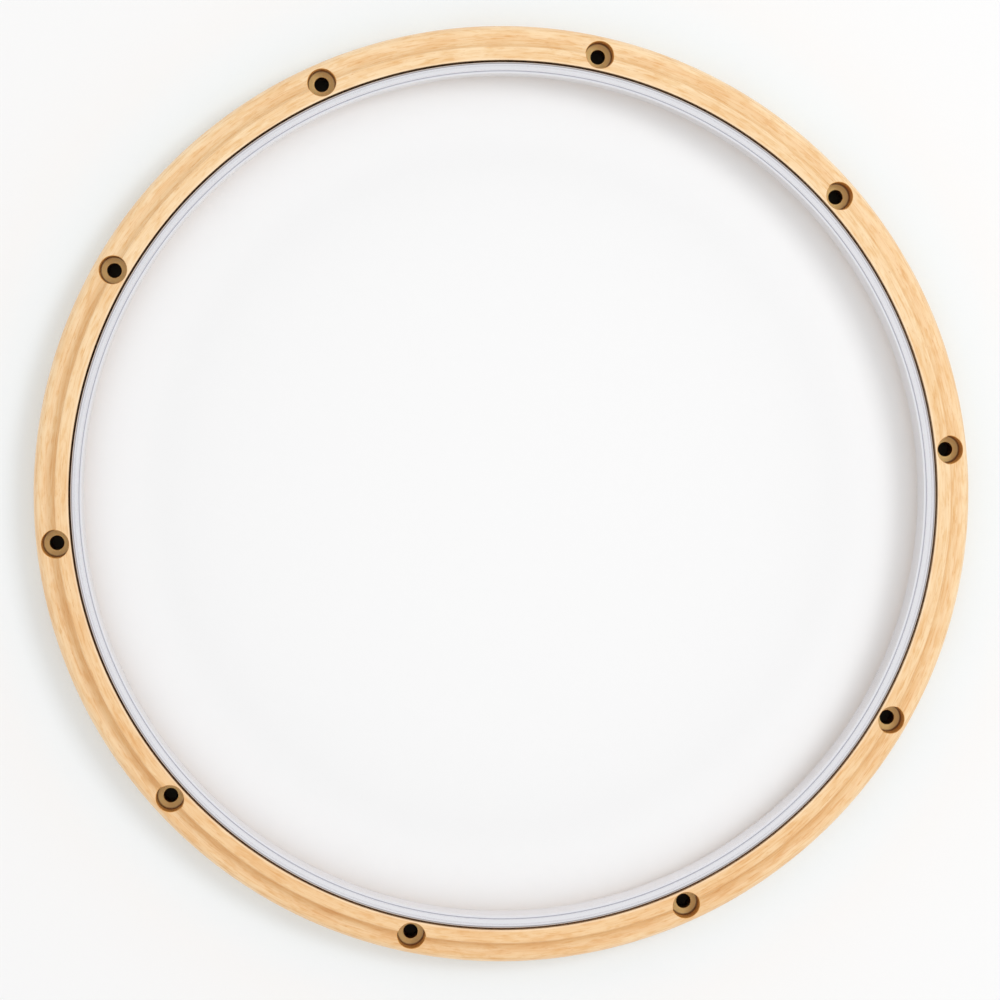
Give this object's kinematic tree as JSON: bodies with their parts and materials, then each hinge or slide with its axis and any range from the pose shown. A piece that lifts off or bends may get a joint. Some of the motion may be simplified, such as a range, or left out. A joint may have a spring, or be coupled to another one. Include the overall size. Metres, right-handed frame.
{
  "type": "drum counterhoop",
  "caption": "Round moulded wooden drum counterhoop with counterbored tension-rod holes and a polished metal ring lining its bore.",
  "frame": {"origin": "centre of the hoop on the plane of its underside, where it rests on a table", "axes": "+Z along the hoop's axis, away from the drum; +X through the centre of the first tension-rod hole"},
  "size_m": [0.398, 0.398, 0.028],
  "materials": {
    "maple": "clear satin lacquer",
    "polished_metal": "polished"
  },
  "bodies": {
    "root": {"maple_ply_1": "maple", "maple_ply_2": "maple", "maple_ply_3": "maple", "maple_ply_4": "maple", "maple_ply_5": "maple", "liner_ring": "polished_metal"}
  },
  "joints": []
}
